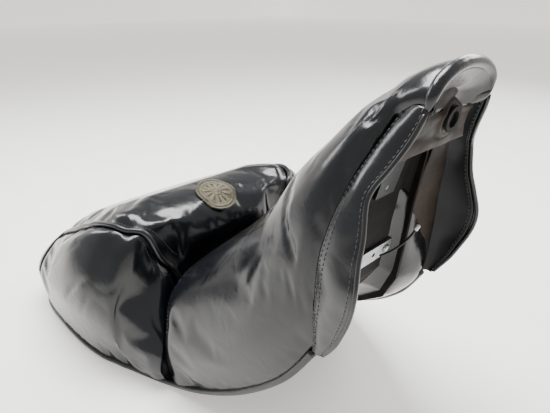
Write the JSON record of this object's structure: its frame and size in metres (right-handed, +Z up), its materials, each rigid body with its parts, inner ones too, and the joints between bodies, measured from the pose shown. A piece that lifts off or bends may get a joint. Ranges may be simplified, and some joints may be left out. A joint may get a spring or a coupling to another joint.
{
  "type": "motorcycle seat",
  "caption": "Two-up touring motorcycle seat with stepped pillion pad, bucket rider pad, piped leather cover, hanging nose skirts, moulded pan and backrest socket.",
  "frame": {"origin": "on the surface the seat lies on, under the middle of its bounding box", "axes": "+X towards the nose, +Y to the rider's left, +Z up, with the seat lying nose-up on a flat surface"},
  "size_m": [0.6086, 0.4372, 0.4182],
  "materials": {
    "cover_leather": "smooth coated, glossy",
    "foam": "open cell, matt",
    "pan_plastic": "moulded, semi-gloss",
    "lining": "backed vinyl, dull",
    "black_steel": "black coated",
    "zinc_steel": "zinc plated",
    "rubber": "matt",
    "webbing": "woven nylon",
    "nylon": "satin",
    "thread": "embroidered"
  },
  "bodies": {
    "seat": {"arc_piping_left": "cover_leather", "arc_piping_right": "cover_leather", "backrest_receiver": "black_steel", "closing_strip_left": "lining", "closing_strip_right": "lining", "cross_strap": "zinc_steel", "cross_strap_rivet_1": "zinc_steel", "cross_strap_rivet_2": "zinc_steel", "emblem_patch": "thread", "hem_piping_left": "cover_leather", "hem_piping_right": "cover_leather", "hip_bolster_left": "cover_leather", "hip_bolster_right": "cover_leather", "nose_grommet": "rubber", "nose_lining": "lining", "nose_rim": "cover_leather", "nose_tongue": "black_steel", "nose_tongue_rivet_1": "zinc_steel", "nose_tongue_rivet_2": "zinc_steel", "pan_rail_left": "black_steel", "pan_rail_right": "black_steel", "pillion_cover": "cover_leather", "pillion_foam": "foam", "pocket_strap": "webbing", "rear_tab": "zinc_steel", "rear_tab_rivet_1": "zinc_steel", "rear_tab_rivet_2": "zinc_steel", "receiver_bolt_left": "zinc_steel", "receiver_bolt_right": "zinc_steel", "rider_cover": "cover_leather", "rider_foam": "foam", "rubber_foot_front_left": "rubber", "rubber_foot_front_right": "rubber", "rubber_foot_rear_left": "rubber", "rubber_foot_rear_right": "rubber", "seat_pan": "pan_plastic", "skirt_left": "cover_leather", "skirt_right": "cover_leather", "slot_piping": "cover_leather", "tail_panel_left": "cover_leather", "tail_panel_right": "cover_leather", "tie_tail": "nylon"},
    "latch": {"latch_pin": "zinc_steel"}
  },
  "joints": [
    {"name": "latch_pull", "type": "slide", "parent": "seat", "child": "latch", "axis": [1, 0, 0], "range_m": [0, 0.006], "stiffness_N_per_m": 600, "springref_m": -0.004}
  ]
}
